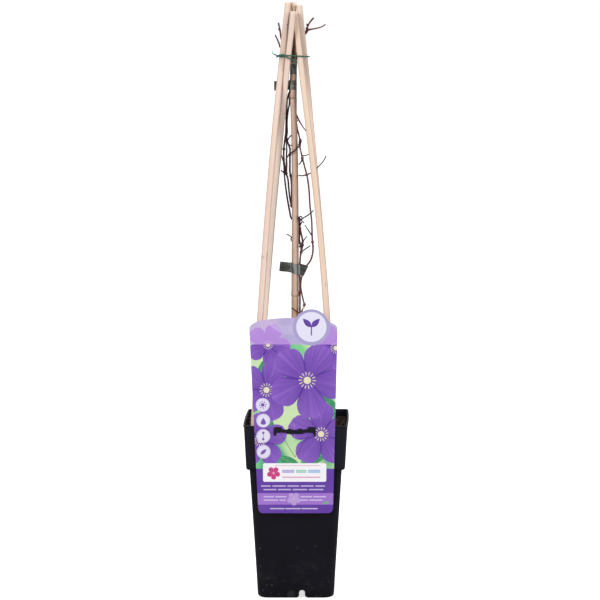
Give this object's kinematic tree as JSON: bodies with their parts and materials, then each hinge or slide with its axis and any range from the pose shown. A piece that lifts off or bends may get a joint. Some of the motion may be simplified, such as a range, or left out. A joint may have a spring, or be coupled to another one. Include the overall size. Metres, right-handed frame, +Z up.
{
  "type": "potted clematis",
  "caption": "Tall square nursery pot with a dormant climbing plant tied to a bamboo cane, pine sticks bowed together over it, and a plant label hung on the lip.",
  "frame": {"origin": "centre of the pot's foot, on the surface that the pot stands on", "axes": "+Z up along the pot, -Y towards the label on the front, +X to the right of a person facing the label"},
  "size_m": [0.1322, 0.1331, 0.7384],
  "materials": {
    "pot_plastic": "satin",
    "peat": "matte",
    "pine": "matte",
    "bamboo": "satin",
    "bark": "matte",
    "tying_tape": "satin",
    "green_wire": "satin",
    "label_print": "satin"
  },
  "bodies": {
    "root": {"pot": "pot_plastic", "soil": "peat", "stick_front_left": "pine", "stick_back_left": "pine", "stick_front_right": "pine", "stick_back_right": "pine", "cane": "bamboo", "stem_left": "bark", "stem_right": "bark", "tape_top": "tying_tape", "tape_middle": "tying_tape", "tape_low": "tying_tape", "tie_wire": "green_wire", "label": "label_print"}
  },
  "joints": []
}
